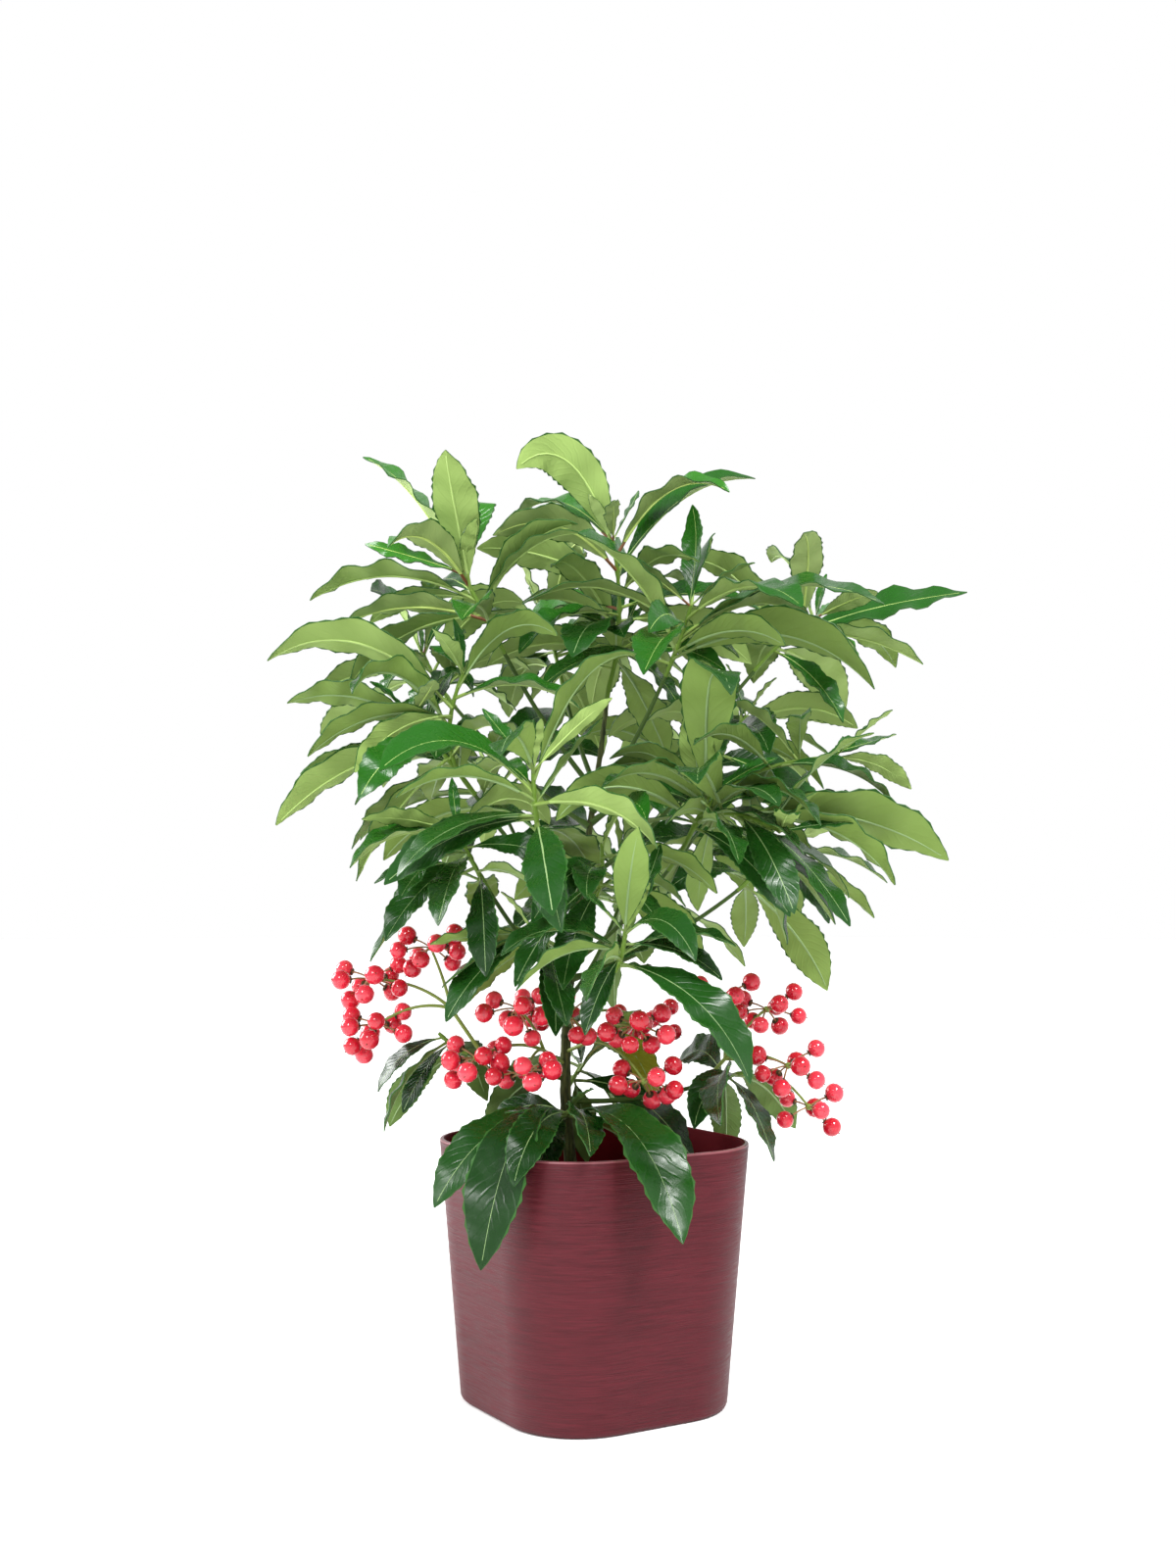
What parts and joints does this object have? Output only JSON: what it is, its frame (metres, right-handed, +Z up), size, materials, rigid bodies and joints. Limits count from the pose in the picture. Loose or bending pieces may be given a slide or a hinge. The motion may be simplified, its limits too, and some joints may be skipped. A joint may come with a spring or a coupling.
{
  "type": "potted ardisia",
  "caption": "Square tapered pot with rounded corners, soil, and an evergreen shrub: one upright stem, boughs with whorls of pointed leaves, and bunches of round fruit on stalks.",
  "frame": {"origin": "middle of the pot's flat underside", "axes": "+Z up along the plant; the pot's sides run along X and Y"},
  "size_m": [0.3519, 0.3251, 0.4802],
  "materials": {
    "pot": "satin wine-red plastic with fine brushed lines",
    "soil": "rough dark potting mix",
    "bark": "matt green-brown bark",
    "leaf": "leathery, glossy above and matt below",
    "fruit": "glossy coral-red skin"
  },
  "bodies": {
    "root": {"bough_back_left": "bark", "bough_back_low": "bark", "bough_back_right": "bark", "bough_back_top": "bark", "bough_centre": "bark", "bough_front_low": "bark", "bough_front_middle": "bark", "bough_fruit_left": "bark", "bough_fruit_right": "bark", "bough_left_back": "bark", "bough_left_low": "bark", "bough_left_side": "bark", "bough_left_top": "bark", "bough_right_back": "bark", "bough_right_shoulder": "bark", "bough_right_tip": "bark", "bough_right_top": "bark", "bough_side_back": "bark", "fruit_back": "fruit", "fruit_front_left": "fruit", "fruit_front_right": "fruit", "fruit_left": "fruit", "fruit_right": "fruit", "leaves_back_left": "leaf", "leaves_back_low": "leaf", "leaves_back_right": "leaf", "leaves_back_top": "leaf", "leaves_centre": "leaf", "leaves_foot_back": "leaf", "leaves_foot_front": "leaf", "leaves_foot_left": "leaf", "leaves_foot_right": "leaf", "leaves_front_low": "leaf", "leaves_front_middle": "leaf", "leaves_left_back": "leaf", "leaves_left_low": "leaf", "leaves_left_side": "leaf", "leaves_left_top": "leaf", "leaves_right_back": "leaf", "leaves_right_shoulder": "leaf", "leaves_right_side": "leaf", "leaves_right_top": "leaf", "leaves_side_back": "leaf", "leaves_skirt": "leaf", "leaves_top": "leaf", "pot": "pot", "soil": "soil", "stem": "bark"}
  },
  "joints": []
}
